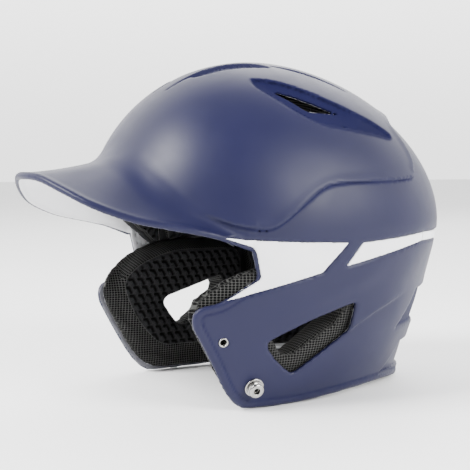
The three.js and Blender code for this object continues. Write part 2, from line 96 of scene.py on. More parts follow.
# Plan outlines as (|x|, y, corner radius).
CROWN_GROOVE = [(9, -52, 0), (11.5, -37, 4), (18, -37, 4), (22, -30, 6), (26, -17, 6), (29, -4, 4), (31.5, 9, 1),
                (28, 8.5, 2), (21, 4, 4), (14, -6, 5), (11, -17, 4), (10, -27, 4)]
REAR_GROOVE = [(26.5, 11, 1), (33, 20, 4), (38.5, 29, 4), (43, 37, 4), (52, 55, 1), (44.5, 44, 4), (38, 34.5, 4),
               (31, 22.5, 4)]
GROOVES_FROM_Z = 150
# Steps in the back panel as (lowest z, highest z, half breadth), both behind one plane.
BACK_STEP, BACK_FOOT, BACK_FROM_Y = (42, 66, 73), (9, 29, 58), 60
BEAD_INSET, BEAD_TOP_Z, HEM_INSET = 4.0, 74, 5.2  # the bead along the edges, and the dull line beside it
FLAP_LIP_Z, LIP_WIDTH, LIP_PAINTED_REFLECTION = 72, 4.5, 0.07  # the lip inside the flaps, below this height, and the paint value it is held to: part-way between navy and white, a painted reflection that pales the lip in shade
PAINT_DEPTH = 2.3  # the navy reaches this far into the wall at an edge
# How deep or proud the moulded features are.
MOULDED = {"dome": 1.9, "dome_lip": 0.7, "lower": 2.4, "lower_rear": 1.6, "bead": 1.0, "crease": 1.3, "swell": 1.2,
           "vent": (1.3, 3.0), "crown_groove": 2.8, "rear_groove": 2.2, "back_step": 2.4, "back_foot": 2.6}
SOFT_RELIEF, SHARP_RELIEF = 2.0, 0.7  # softness of the moulded steps, inside and outside

# Pads and liners, close to the CAD's: depths under the hull, then outlines.
LINER, PAD = (4, 11), (12.8, 21.5)
BROW_PAD = [(-140, 152, 0), (-70, 150, 8), (-50, 112, 4), (-44, 105.5, 4), (-35, 99.5, 4),
            (-25, 92, 4), (-20, 88, 3), (-14, 88, 2), (-14, 150, 20), (-36, 184, 8), (-140, 184, 0)]
SIDE_PAD = [(-12, 90, 2), (54, 95, 10), (54, 166, 14), (-12, 166, 14)]
REAR_PAD = [(52, 13, 0), (52, 86, 0), (60, 96, 0), (66, 156, 0), (180, 156, 0), (180, 22, 0), (110, 22, 0),
            (90, 13, 0)]
CROWN_PAD = [(-42, -26, 16), (42, -26, 16), (42, 66, 24), (-42, 66, 24)]
FLAP_PAD = [(-50, 67, 6), (-36, 78, 12), (-12, 86, 12), (44, 86, 12), (44, 19, 12), (-25, 20, 8), (-42, 38, 12),
            (-50.5, 58, 6)]
FLAP_PAD_BASE = [(-71.8, 63.8, 18), (-46, 82.5, 12), (-12, 92.5, 12), (46, 92.5, 12), (46, 2.6, 12), (-38.4, 2.6, 18)]
FLAP_PAD_HOLE = [(-22, 51, 4), (26, 66, 5), (27, 54, 5), (-8, 31.5, 4)]
FLAP_PAD_FACE_X, FLAP_PAD_DEPTH, FLAP_PAD_THIN = 60, 4.6, 8
LAYER_GAP = 0.4  # between the shell and what lies under it
PAD_SHRINK = (0.4, 1.2, 0.6)  # a pad starts smaller than it ends: at its back, its face and its side
DENT_PITCH, DENT_DEPTH, PAD_FILL = (6.5, 5.7), 1.3, 0.75
MESH_PITCH = (1.9, 1.6)  # the air mesh's cells, round a pad and across its side

# Turned fasteners as (radius, height along the axis).
SNAP_PROFILES = {
    "washer": [(2.6, -0.2), (6.0, -0.2), (6.0, 0.5), (5.7, 0.8), (5.2, 0.9), (4.6, 0.75), (4.2, 0.9), (2.6, 0.9)],
    "stud": [(2.6, 1.2), (4.0, 1.2), (3.5, 1.5), (3.2, 2.0), (3.2, 3.0), (3.5, 3.3), (4.4, 3.6), (4.65, 3.9),
             (4.65, 4.3), (4.4, 4.8), (3.9, 5.15), (3.2, 5.2), (2.4, 5.1), (2.0, 4.9), (2.0, 4.0), (2.6, 3.6)],
    "rivet": [(1.4, -4.2), (4.6, -4.2), (5.0, -3.8), (5.0, -3.2), (2.3, -3.2), (2.3, 3.0), (2.1, 3.2), (1.4, 3.2)],
}
NUT_PROFILE = [(1.6, -4.2), (5.8, -4.2), (6.0, -4.0), (6.0, -3.2), (2.4, -3.2), (2.4, -0.1), (2.85, 0.05),
               (2.85, 0.35), (2.6, 0.55), (2.1, 0.45), (1.6, -0.3)]
WASHER_MIDDLE, NUT_MIDDLE = 0.35, -2.35  # the CAD nodes' own middles along their axes
BORE_REACH = 9


def hardware_place(mount, node, side, middle):
    """Where a fastener's own origin lies, and its axis."""
    axis = next(Vector(m["axis"]).normalized() for m in frame["record"]["mounts"] if m["name"] == f"{mount}_{side}")
    low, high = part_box(f"{node}_{side}")
    return (low + high) / 2 / MM - axis * middle, axis


# The left side's holes for them: place, axis and radius.
BORES = [(*hardware_place("chin_snap", "chin_snap_washer", "left", WASHER_MIDDLE), 2.6),
         (*hardware_place("faceguard_nut", "faceguard_nut", "left", NUT_MIDDLE), 2.5)]


def mix(a, b, t):
    return a + (b - a) * t


def ease(low, high, value):
    t = np.clip((value - low) / (high - low), 0, 1)
    return t * t * (3 - 2 * t)


def smooth_max(a, b, k):
    h = np.maximum(k - np.abs(a - b), 0) / k
    return np.maximum(a, b) + h * h * k / 4


def smooth_min(a, b, k):
    return -smooth_max(-a, -b, k)


# ---- fields: negative inside a solid, in millimetres ----

def hull_value(x, y, z):
    """0 on the hull's outer surface, negative inside it: a superellipse that narrows down the flaps."""
    rise = np.clip((z - WAIST_Z) / CROWN_RISE, 0, None)
    drop = np.clip((WAIST_Z - z) / WAIST_Z, 0, 1.3) ** FLAP_TAPER_POWER
    centre = mix(*CENTRE_Y, drop) + (CROWN_Y - CENTRE_Y[0]) * np.minimum(rise, 1.1) ** 2
    front = y < centre
    reach = np.where(front, mix(*FRONT_REACH, drop), mix(*REAR_REACH, drop))
    power = np.where(front, mix(*FRONT_POWER, drop), mix(*REAR_POWER, drop))
    ring = (np.abs(x / mix(*HALF_BREADTH, drop)) ** power + np.abs((y - centre) / reach) ** power) ** (1 / power)
    return (ring ** CROWN_POWER + rise ** CROWN_POWER) ** (1 / CROWN_POWER) - 1


def slope(field, x, y, z, step=0.4):
    return np.stack([field(x + step, y, z) - field(x - step, y, z),
                     field(x, y + step, z) - field(x, y - step, z),
                     field(x, y, z + step) - field(x, y, z - step)]) / (2 * step)


def hull_distance(x, y, z):
    """Distance from the hull's outer surface, and the outward direction."""
    total = np.zeros_like(x)
    px, py, pz = x, y, z
    for _ in range(2):
        turn = slope(hull_value, px, py, pz)
        size = np.maximum(np.sqrt((turn ** 2).sum(0)), 1e-6)
        step = hull_value(px, py, pz) / size
        normal = turn / size
        total = total + step
        px, py, pz = px - step * normal[0], py - step * normal[1], pz - step * normal[2]
    return total, normal


def rounded(corners, steps=5):
    """A dense closed outline with rounded corners."""
    points = np.array([c[:2] for c in corners], float)
    outline = []
    for i, corner in enumerate(points):
        radius = corners[i][2]
        if radius == 0:
            outline.append(corner)
            continue
        ends = []
        for other in (points[i - 1], points[(i + 1) % len(points)]):
            length = np.linalg.norm(other - corner)
            ends.append(corner + (other - corner) * min(radius, length * 0.5) / length)
        for t in np.linspace(0, 1, steps):
            outline.append(ends[0] * (1 - t) ** 2 + corner * 2 * t * (1 - t) + ends[1] * t ** 2)
    return np.array(outline)


def outline_distance(corners, u, v, reach=14):
    """Signed distance from an outline, negative inside it and no more than reach outside it."""
    outline = rounded(corners)
    low, high = outline.min(0) - reach, outline.max(0) + reach
    near = (u > low[0]) & (u < high[0]) & (v > low[1]) & (v < high[1])
    pu, pv = u[near], v[near]
    best = np.full(pu.shape, 1e9)
    inside = np.zeros(pu.shape, bool)
    for (au, av), (bu, bv) in zip(outline, np.roll(outline, -1, axis=0)):
        eu, ev = bu - au, bv - av
        wu, wv = pu - au, pv - av
        t = np.clip((wu * eu + wv * ev) / (eu * eu + ev * ev + 1e-12), 0, 1)
        best = np.minimum(best, (wu - eu * t) ** 2 + (wv - ev * t) ** 2)
        if ev != 0:
            inside ^= ((av <= pv) != (bv <= pv)) & (wu < wv * eu / ev)
    distance = np.full(u.shape, float(reach))
    distance[near] = np.minimum(np.where(inside, -np.sqrt(best), np.sqrt(best)), reach)
    return distance


def along_outline(corners, u, v):
    """Length along an outline to its place nearest each point, and the square of the distance to it."""
    outline = rounded(corners)
    best, length, before = np.full(u.shape, 1e9), np.zeros(u.shape), 0.0
    for (au, av), (bu, bv) in zip(outline, np.roll(outline, -1, axis=0)):
        eu, ev = bu - au, bv - av
        wu, wv = u - au, v - av
        t = np.clip((wu * eu + wv * ev) / (eu * eu + ev * ev + 1e-12), 0, 1)
        away = (wu - eu * t) ** 2 + (wv - ev * t) ** 2
        length = np.where(away < best, before + np.hypot(eu, ev) * t, length)
        best = np.minimum(best, away)
        before += np.hypot(eu, ev)
    return length, best


def curve_through(points, steps=12):
    """A smooth curve through points given from the centre to the left temple."""
    p = np.array(points, float)
    mirrored = p[1] * [-1, 1, 1]
    p = np.vstack([mirrored, p, 2 * p[-1] - p[-2]])
    out = []
    for a, b, c, d in zip(p, p[1:], p[2:], p[3:]):
        for t in np.linspace(0, 1, steps, endpoint=False):
            out.append(0.5 * (2 * b + (c - a) * t + (2 * a - 5 * b + 4 * c - d) * t ** 2
                              + (3 * b - a - 3 * c + d) * t ** 3))
    return np.array(out + [p[-2]])


def round_hub(curve):
    """A curve as angle from the left, distance from the hub's axis and height."""
    angle = np.arctan2(curve[:, 1] - BRIM_HUB_Y, curve[:, 0])
    order = np.argsort(angle)
    radius = np.hypot(curve[:, 0], curve[:, 1] - BRIM_HUB_Y)
    return angle[order], radius[order], curve[order, 2]


EDGE_CURVE, ROOT_CURVE = round_hub(curve_through(BRIM_EDGE)), round_hub(curve_through(BRIM_ROOT))


def brim_section(x, y, z):
    """The upright section through the hub's axis: the point, the root and the edge in it."""
    angle = np.arctan2(y - BRIM_HUB_Y, np.abs(x))
    radius = np.hypot(x, y - BRIM_HUB_Y)
    root = np.interp(angle, *ROOT_CURVE[:2]), np.interp(angle, ROOT_CURVE[0], ROOT_CURVE[2])
    edge = np.interp(angle, *EDGE_CURVE[:2]), np.interp(angle, EDGE_CURVE[0], EDGE_CURVE[2])
    return angle, radius, root, edge


def brim_parts(x, y, z):
    """The brim's plate, its rolled rim, the height above the plate's middle and the reach past the rim's centre."""
    angle, radius, root, edge = brim_section(x, y, z)
    du, dv = edge[0] - root[0], edge[1] - root[1]
    length = np.hypot(du, dv) + 1e-9
    nu, nv = -dv / length, du / length
    half = BRIM_THICKNESS / 2
    ru, rv = root[0] - nu * half, root[1] - nv * half
    eu, ev = edge[0] + nu * half - du / length * RIM_PULL, edge[1] + nv * half - dv / length * RIM_PULL
    du, dv = eu - ru, ev - rv
    t = np.clip(((radius - ru) * du + (z - rv) * dv) / (du * du + dv * dv), -0.35, 1)
    sag = BRIM_SAG * 4 * t * (1 - t) * (t > 0)
    cu, cv = ru + du * t - nu * sag, rv + dv * t - nv * sag
    off_u, off_v = radius - cu, z - cv
    front = ease(-0.5, -1.4, angle)
    plate = np.hypot(off_u, off_v) - half
    rim = np.hypot(radius - eu + nu * RIM_DROP, z - ev + nv * RIM_DROP) - mix(*RIM_RADIUS, front)
    above = off_u * nu + off_v * nv
    past = ((radius - eu) * du + (z - ev) * dv) / np.hypot(du, dv)
    return plate, rim, above, past


def brim_field(x, y, z):
    """The brim alone, measured in upright sections."""
    plate, rim, _, _ = brim_parts(x, y, z)
    return smooth_min(plate, rim, 1.5)


def under_brim(x, y, z):
    """Negative below the brim, where the hull's wall is open."""
    _, radius, root, edge = brim_section(x, y, z)
    fall = (edge[1] - root[1]) / np.maximum(edge[0] - root[0], 0.5)
    floor = root[1] - BRIM_CUT_DROP + np.maximum(radius - root[0], 0) * fall
    return (z - floor) / np.sqrt(1 + np.where(radius > root[0], fall, 0) ** 2)


def edge_distance(y, z):
    """How far a place on the side lies from the shell's open edges."""
    return np.minimum(np.minimum(outline_distance(FACE_OPENING, y, z), outline_distance(BASE_ARCH, y, z)), z)


def back_zone(ax, y, z, low, high, half):
    """Negative inside one of the back panel's steps."""
    return np.maximum(np.maximum(low - z, z - high), np.maximum(ax - half, BACK_FROM_Y - y))


def relief(ax, y, z, soft):
    """How far the shell's moulded surface stands proud of the plain hull."""
    def within(distance, sharp=soft):
        return 1 - ease(-sharp, sharp, distance)

    # the dome's step, and the sunk lower part below the ledge
    ledge = np.interp(y, *zip(*LEDGE))
    below = within(z - ledge) * ease(-66, -57, y)
    band = outline_distance(BAND, y, z)
    dome = ease(-72, -46, y) * (1 - below)
    out = dome * (MOULDED["dome_lip"] * ease(7, 0, band) * (1 - within(band)) - MOULDED["dome"] * within(band))
    fade = mix(0.15, 1, ease(52, 96, z))
    rear = ease(70, 104, y)
    out = out - below * (MOULDED["lower"] * fade + MOULDED["lower_rear"] * rear * ease(98, 70, z) * ease(2, 40, z))
    # the bead along the guard's front edge and the lower edge
    guard = within(z - BEAD_TOP_Z, 3 * soft)
    out = out + MOULDED["bead"] * within(edge_distance(y, z) - BEAD_INSET) * guard
    # the crease behind the ear hole, and the swelling over it
    line = np.interp(y, *zip(*CREASE))
    over = z - line
    crease = ease(-soft, soft, over) * np.exp(-np.maximum(over, 0) / 12)
    out = out + MOULDED["crease"] * crease * ease(26, 34, y) * ease(82, 58, y)
    swell = z - (58 + 0.27 * (y + 24))
    out = out + MOULDED["swell"] * np.exp(-((swell - 3) / 7) ** 2) * ease(-34, -10, y) * ease(60, 30, y)
    # vents and grooves
    slot = outline_distance(VENT_SLOT, y, z, 30)
    recess = within(outline_distance(VENT_RECESS, y, z))
    out = out - recess * mix(*MOULDED["vent"], ease(14, 0, slot))
    for name, groove in (("crown_groove", CROWN_GROOVE), ("rear_groove", REAR_GROOVE)):
        out = out - MOULDED[name] * within(outline_distance(groove, ax, y), max(soft, 1.2)) * (z > GROOVES_FROM_Z)
    # the back panel's steps
    out = out - MOULDED["back_step"] * within(back_zone(ax, y, z, *BACK_STEP))
    return out - MOULDED["back_foot"] * within(back_zone(ax, y, z, *BACK_FOOT))


def matte(x, y, z):
    """1 where the surface is dull: the sunk vents and back step, the foot of the dome's step and the flaps' hem."""
    vent = 1 - ease(0.8, 2.4, outline_distance(VENT_RECESS, y, z))
    foot = np.exp(-((outline_distance(BAND, y, z) + 0.5) / 0.9) ** 2) * ease(-60, -40, y) * ease(104.5, 108, z)
    hem = 0.7 * np.exp(-((edge_distance(y, z) - HEM_INSET) / 0.8) ** 2) * (z < FLAP_LIP_Z)
    back = back_zone(np.abs(x), y, z, *BACK_STEP)
    return np.clip(vent + 0.8 * foot + 0.8 * hem + 0.6 - 0.6 * ease(-0.8, 0.8, back), 0, 1)


# Where the inlays lie, negative inside them.
SEAT_ZONES = {
    "temple_inlay": lambda y, z: outline_distance(TEMPLE_INLAY, y, z),
    "side_inlay": lambda y, z: outline_distance(SIDE_INLAY, y, z),
    "rear_inlay": lambda y, z: np.maximum(np.abs(z - REAR_STRIPE["z"]) - REAR_STRIPE["half"], REAR_STRIPE["y"] - y),
}


def shell_body(x, y, z):
    """The shell before its seats and bores, its outer half (negative), and its paint: positive where navy."""
    ax = np.abs(x)
    distance, normal = hull_distance(x, y, z)
    # the moulded relief is sharp outside and soft inside
    soft = relief(ax, y, z, SOFT_RELIEF)
    out = mix(soft, relief(ax, y, z, SHARP_RELIEF), ease(-2.4, -1.0, distance - soft))
    depth = distance - out
    # the wall, cut at the face opening, the base arch and the floor
    wall = smooth_max(depth, -(depth + WALL), 0.8)
    cuts = smooth_min(outline_distance(FACE_OPENING, y, z), outline_distance(BASE_ARCH, y, z), 1)
    wall = smooth_max(wall, -cuts, 1.6)
    wall = smooth_max(wall, -z, 1.6)
    # the brim is worked out where the point would be without the relief, so its foot follows the relief
    px, py, pz = x - normal[0] * out, y - normal[1] * out, z - normal[2] * out
    forward = y - BRIM_END_Y
    wall = np.maximum(wall, -np.maximum(np.maximum(under_brim(px, py, pz), forward), BRIM_CUT_LOW_Z - z))
    plate, rim, above, past = brim_parts(px, py, pz)
    steep = np.sqrt((slope(brim_field, px, py, pz) ** 2).sum(0))
    brim = smooth_min(plate, rim, 1.5) / np.clip(steep, 0.6, 3)
    brim = np.maximum(brim, forward)
    body = smooth_min(wall, brim, mix(*BRIM_BLEND, ease(-56, -84, y) * ease(-3, 1, above)))
    body = smooth_max(body, -outline_distance(EAR_HOLE, y, z), 1.4)
    body = smooth_max(body, -outline_distance(VENT_SLOT, y, z), 0.8)
    # navy outside and over the rim; white inside and under the brim
    on_brim = (brim < wall) & (y < -36)
    # the flaps' inner lip is coloured part-way to white: a painted reflection of the bright surroundings on navy in
    # shade
    lip = np.where(z < FLAP_LIP_Z, np.minimum(LIP_WIDTH - np.minimum(cuts, z), LIP_PAINTED_REFLECTION), -9)
    paint = np.where(on_brim, np.maximum(above + 0.2, past - 0.2), np.maximum(depth + PAINT_DEPTH, lip))
    return body, np.where(on_brim, -above, -depth - WALL / 2), paint


def bore(ax, y, z, place, axis, radius):
    """A round hole along an axis through the left side's wall."""
    du, dv, dw = ax - place[0], y - place[1], z - place[2]
    along = du * axis[0] + dv * axis[1] + dw * axis[2]
    across = np.sqrt(np.maximum(du * du + dv * dv + dw * dw - along * along, 0))
    return np.maximum(across - radius, np.abs(along) - BORE_REACH)


def shell_field(x, y, z):
    """The shell, with a seat for every inlay and a bore for every fastener."""
    body, outer, _ = shell_body(x, y, z)
    for zone in SEAT_ZONES.values():
        seat = np.maximum(np.maximum(zone(y, z), outer), -body - SEAT_DEPTH)
        body = smooth_max(body, -seat, 0.2)
    for place, axis, radius in BORES:
        body = smooth_max(body, -bore(np.abs(x), y, z, place, axis, radius), 0.3)
    return body


# ---- meshes ----

def surface_net(field, low, step):
    """Vertices in millimetres and quads on the zero surface of a sampled field.

    Every cell that the surface crosses gets one vertex, at the mean of the crossings on its edges, and every
    crossed edge gets one quad.
    """
    inside = field < 0
    cell_shape = tuple(n - 1 for n in field.shape)
    count = np.zeros(cell_shape, np.int8)
    for i in (0, 1):
        for j in (0, 1):
            for k in (0, 1):
                count += inside[i:i + cell_shape[0], j:j + cell_shape[1], k:k + cell_shape[2]]
    active = (count > 0) & (count < 8)
    cells = np.argwhere(active)
    index = np.full(cell_shape, -1, np.int64)
    index[active] = np.arange(len(cells))
    total, hits = np.zeros((len(cells), 3)), np.zeros(len(cells))
    for axis in range(3):
        first, second = [a for a in range(3) if a != axis]
        for i in (0, 1):
            for j in (0, 1):
                start = cells.copy()
                start[:, first] += i
                start[:, second] += j
                end = start.copy()
                end[:, axis] += 1
                a, b = field[tuple(start.T)], field[tuple(end.T)]
                crosses = (a < 0) != (b < 0)
                point = start.astype(float)
                point[:, axis] += np.where(crosses, a / np.where(crosses, a - b, 1), 0)
                total += point * crosses[:, None]
                hits += crosses
    vertices = np.array(low) + step * total / hits[:, None]
    quads = []
    for axis in range(3):
        first, second = (axis + 1) % 3, (axis + 2) % 3
        below, above = [slice(1, -1)] * 3, [slice(1, -1)] * 3
        below[axis], above[axis] = slice(None, -1), slice(1, None)
        below, above = inside[tuple(below)], inside[tuple(above)]
        edges = np.argwhere(below != above)
        outward = below[tuple(edges.T)]
        edges[:, first] += 1
        edges[:, second] += 1
        ring = []
        for i, j in ((-1, -1), (0, -1), (0, 0), (-1, 0)):
            cell = edges.copy()
            cell[:, first] += i
            cell[:, second] += j
            ring.append(index[tuple(cell.T)])
        ring = np.stack(ring, 1)
        quads.append(np.where(outward[:, None], ring, ring[:, ::-1]))
    return vertices, np.vstack(quads)


def grid(low, high, step):
    axes = [np.arange(a, b + step, step) for a, b in zip(low, high)]
    return np.meshgrid(*axes, indexing="ij")


def netted(field, low, high, step, near=None):
    """The surface of a field in a box. near picks the samples worth working out."""
    x, y, z = grid(low, high, step)
    values = np.full(x.shape, 9.0)
    band = np.abs(hull_value(x, y, z)) < 0.4 if near is None else near(x, y, z)
    values[band] = field(x[band], y[band], z[band])
    return surface_net(values, low, step)


def mesh_object(name, vertices, faces):
    mesh = bpy.data.meshes.new(name)
    faces = np.asarray(faces)
    mesh.vertices.add(len(vertices))
    mesh.vertices.foreach_set("co", (np.asarray(vertices) * MM).astype(np.float32).ravel())
    mesh.loops.add(faces.size)
    mesh.loops.foreach_set("vertex_index", faces.astype(np.int32).ravel())
    mesh.polygons.add(len(faces))
    mesh.polygons.foreach_set("loop_start", np.arange(0, faces.size, faces.shape[1], dtype=np.int32))
    mesh.polygons.foreach_set("loop_total", np.full(len(faces), faces.shape[1], np.int32))
    mesh.update(calc_edges=True)
    mesh.validate()
    mesh.shade_smooth()
    obj = bpy.data.objects.new(name, mesh)
    bpy.context.scene.collection.objects.link(obj)
    return obj


def points_of(obj):
    co = np.zeros(len(obj.data.vertices) * 3, np.float32)
    obj.data.vertices.foreach_get("co", co)
    return co.reshape(-1, 3).astype(float) / MM


def normals_of(obj):
    normals = np.zeros(len(obj.data.vertices) * 3, np.float32)
    obj.data.vertex_normals.foreach_get("vector", normals)
    return normals.reshape(-1, 3).astype(float)


def move_points(obj, points):
    obj.data.vertices.foreach_set("co", (points * MM).astype(np.float32).ravel())
    obj.data.update()


def set_attribute(obj, name, values):
    kind = "FLOAT" if values.ndim == 1 else "FLOAT_VECTOR"
    attribute = obj.data.attributes.new(name, kind, "POINT")
    attribute.data.foreach_set("value" if kind == "FLOAT" else "vector", values.astype(np.float32).ravel())


def applied(obj):
    """Bakes an object's modifiers into its mesh."""
    evaluated = obj.evaluated_get(bpy.context.evaluated_depsgraph_get())
    mesh = bpy.data.meshes.new_from_object(evaluated)
    obj.modifiers.clear()
    old = obj.data
    obj.data = mesh
    bpy.data.meshes.remove(old)
    mesh.shade_smooth()
    return obj


def subdivided(obj, levels):
    modifier = obj.modifiers.new("subdivide", "SUBSURF")
    modifier.levels = modifier.render_levels = levels
    return applied(obj)


def mirrored(vertices, faces):
    return vertices * [-1, 1, 1], faces[:, ::-1]


# ---- materials ----

class Nodes:
    """A short way to write a node tree."""

    def __init__(self, name):
        self.material = bpy.data.materials.new(name)
        self.material.use_nodes = True
        self.tree = self.material.node_tree
        self.shader = self.tree.nodes["Principled BSDF"]
        self.place = self.add("ShaderNodeTexCoord").outputs["Object"]

    def add(self, kind, inputs=None, **settings):
        node = self.tree.nodes.new(kind)
        for key, value in settings.items():
            setattr(node, key, value)
        for key, value in (inputs or {}).items():
            self.give(node.inputs[key], value)
        return node

    def give(self, socket, value):
        if isinstance(value, bpy.types.NodeSocket):
            self.tree.links.new(value, socket)
        else:
            socket.default_value = value

    def noise(self, scale, detail=3):
        return self.add("ShaderNodeTexNoise", {"Vector": self.place, "Scale": scale, "Detail": detail}).outputs["Fac"]

    def math(self, operation, a, b=0.0):
        return self.add("ShaderNodeMath", {0: a, 1: b}, operation=operation).outputs[0]

    def choose(self, factor, a, b):
        return self.add("ShaderNodeMix", {"Factor": factor, "A": a, "B": b}, data_type="FLOAT").outputs[0]

    def spread(self, value, low, high, to_low=0.0, to_high=1.0):
        return self.add("ShaderNodeMapRange", {"Value": value, "From Min": low, "From Max": high, "To Min": to_low,
                                               "To Max": to_high}).outputs[0]

    def blend(self, factor, a, b):
        node = self.add("ShaderNodeMix", data_type="RGBA")
        self.give(node.inputs["Factor"], factor)
        for socket, colour in zip([i for i in node.inputs if i.type == "RGBA"], (a, b)):
            self.give(socket, colour if isinstance(colour, bpy.types.NodeSocket) else (*colour, 1))
        return [o for o in node.outputs if o.type == "RGBA"][0]

    def bump(self, height, distance, strength):
        return self.add("ShaderNodeBump", {"Height": height, "Distance": distance, "Strength": strength}).outputs[0]

    def attribute(self, name, output):
        return self.add("ShaderNodeAttribute", attribute_name=name).outputs[output]

    def set(self, **values):
        for key, value in values.items():
            self.give(self.shader.inputs[key.replace("_", " ")], value)
        return self.material


NAVY_DARK, NAVY = (0.0072, 0.0076, 0.0295), (0.0088, 0.0092, 0.0345)
WHITE, PALE = (0.80, 0.80, 0.82), (0.70, 0.70, 0.72)
THREAD, THREAD_HOLE = (0.050, 0.050, 0.048), (0.0006, 0.0006, 0.0006)
# the last colour here is painted shade for the pads' pressed dents
KNIT_DARK, KNIT, DENT_SHADE = (0.013, 0.013, 0.014), (0.026, 0.026, 0.027), (0.0012, 0.0012, 0.0012)
# a lighter line along the pads' seams: partly the stitching, partly a painted highlight on the rounded edge
SEAM_AND_HIGHLIGHT = (0.045, 0.045, 0.045)


def shell_material():
    n = Nodes("shell_paint")
    painted = n.spread(n.attribute("paint", "Fac"), -0.12, 0.12)
    navy = n.blend(n.spread(n.noise(14), 0.35, 0.65), NAVY_DARK, NAVY)
    pale = n.blend(n.spread(n.noise(20), 0.3, 0.7), PALE, WHITE)
    grain = n.noise(2600, 2)
    dull = n.attribute("matte", "Fac")
    rough = n.math("ADD", n.spread(n.noise(60, 4), 0.3, 0.7, 0.40, 0.46), n.math("MULTIPLY", dull, 0.25))
    return n.set(Base_Color=n.blend(painted, pale, navy), Roughness=rough,
                 Normal=n.bump(grain, 0.00004, 0.35), Specular_IOR_Level=n.spread(dull, 0, 1, 0.22, 0.02))


def inlay_material():
    n = Nodes("inlay_white")
    tint = n.blend(n.spread(n.noise(30), 0.3, 0.7), (0.78, 0.78, 0.80), (0.86, 0.86, 0.88))
    return n.set(Base_Color=tint, Roughness=n.spread(n.noise(90, 3), 0.3, 0.7, 0.32, 0.40),
                 Normal=n.bump(n.noise(2400, 2), 0.00003, 0.3))


def foam_material():
    n = Nodes("liner_foam")
    cells = n.add("ShaderNodeTexVoronoi", {"Vector": n.place, "Scale": 900}).outputs["Distance"]
    tint = n.blend(n.spread(n.noise(80), 0.3, 0.7), (0.010, 0.010, 0.011), (0.018, 0.018, 0.019))
    return n.set(Base_Color=tint, Roughness=n.spread(cells, 0, 0.8, 0.8, 0.95), Normal=n.bump(cells, 0.0003, 0.6))


def patch_material():
    n = Nodes("hook_patch")
    loops = n.noise(1500, 4)
    tint = n.blend(n.spread(loops, 0.4, 0.6), (0.008, 0.008, 0.009), (0.03, 0.03, 0.032))
    return n.set(Base_Color=tint, Roughness=n.spread(loops, 0.3, 0.7, 0.8, 1.0), Normal=n.bump(loops, 0.0006, 0.8))


def fabric_material():
    """Knit on the faces and open air mesh on the side bands, told apart by an attribute."""
    n = Nodes("pad_fabric")
    weave = n.add("ShaderNodeSeparateXYZ", {0: n.attribute("weave", "Vector")})
    around, depth = weave.outputs[0], weave.outputs[1]
    band = n.attribute("band", "Fac")
    side = n.spread(band, 0.35, 0.65)
    threads = n.math("MULTIPLY", n.math("SINE", n.math("MULTIPLY", around, math.pi / MESH_PITCH[0])),
                     n.math("SINE", n.math("MULTIPLY", depth, math.pi / MESH_PITCH[1])))
    mesh = n.spread(n.math("ABSOLUTE", threads), 0.12, 0.42)
    knit = n.noise(1800, 3)
    thread_tint = n.blend(mesh, THREAD, THREAD_HOLE)
    knit_tint = n.blend(n.spread(knit, 0.4, 0.65), KNIT_DARK, KNIT)
    # the dents' colour is near black: painted shade in the pressed dents
    face_tint_with_dent_shade = n.blend(n.attribute("dent", "Fac"), knit_tint, DENT_SHADE)
    # lighter along the seam where face meets side: partly stitching, partly a painted highlight on the edge
    off_seam = n.math("MULTIPLY", n.math("ABSOLUTE", n.math("SUBTRACT", band, 0.5)), 2.6)
    seam_and_highlight = n.spread(n.math("SUBTRACT", 1.0, off_seam), 0, 1)
    height = n.math("MULTIPLY", n.choose(side, knit, mesh), n.choose(side, 0.35, -1.0))
    tint = n.blend(seam_and_highlight, n.blend(side, face_tint_with_dent_shade, thread_tint), SEAM_AND_HIGHLIGHT)
    return n.set(Base_Color=tint, Roughness=n.spread(knit, 0.3, 0.7, 0.75, 0.9),
                 Normal=n.bump(height, 0.0006, 0.8), Sheen_Weight=0.02, Sheen_Roughness=0.5, Specular_IOR_Level=0.1)


def nickel_material():
    n = Nodes("nickel")
    tint = n.blend(n.spread(n.noise(500), 0.3, 0.7), (0.30, 0.295, 0.285), (0.44, 0.43, 0.415))
    return n.set(Base_Color=tint, Metallic=1.0, Roughness=n.spread(n.noise(1200, 4), 0.3, 0.7, 0.14, 0.28),
                 Normal=n.bump(n.noise(1500, 2), 0.00002, 0.4))


def floor_material():
    n = Nodes("floor")
    tint = n.blend(n.spread(n.noise(3), 0.3, 0.7), (0.95, 0.95, 0.95), (0.97, 0.97, 0.97))
    return n.set(Base_Color=tint, Roughness=0.7)


LOOK = {"shell": shell_material(), "inlay": inlay_material(), "liner_foam": foam_material(),
        "hook_patch": patch_material(), "pad_fabric": fabric_material(), "nickel": nickel_material()}


def fit(obj, slot, *nodes):
    """Gives a piece its look, hangs it from the root body and hides the CAD nodes it stands for."""
    obj.data.materials.clear()
    obj.data.materials.append(LOOK[slot])
    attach(obj, "root")
    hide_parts(*nodes)
    return obj


# ---- pieces ----

SHELL_STEP = 1.35


def build_shell():
    low, high = (-106, -150, -4), (106, 148, 218)

    # only samples close to the wall or the brim are worked out
    def near(x, y, z):
        value = hull_value(x, y, z)
        wall = (value > -0.14) & (value < 0.05)
        brim = (y < -30) & (z > 85) & (z < 160) & (value > -0.16) & (value < 0.9)
        brim[brim] = brim_field(x[brim], y[brim], z[brim]) < 9
        return wall | brim

    vertices, faces = netted(shell_field, low, high, SHELL_STEP, near)
    shell = mesh_object("helmet_shell", vertices, faces)
    set_attribute(shell, "paint", shell_body(*vertices.T)[2])
    set_attribute(shell, "matte", matte(*vertices.T))
    return fit(shell, "shell", "shell")


def inlay_field(zone):
    """A thin panel in its seat, a little below the shell's surface."""
    def field(x, y, z):
        body, outer, _ = shell_body(x, y, z)
        slab = smooth_max(body + INLAY_SINK, 0.1 - body - SEAT_DEPTH, 0.2)
        return np.maximum(smooth_max(slab, zone(y, z) + INLAY_GAP, 0.3), outer)
    return field


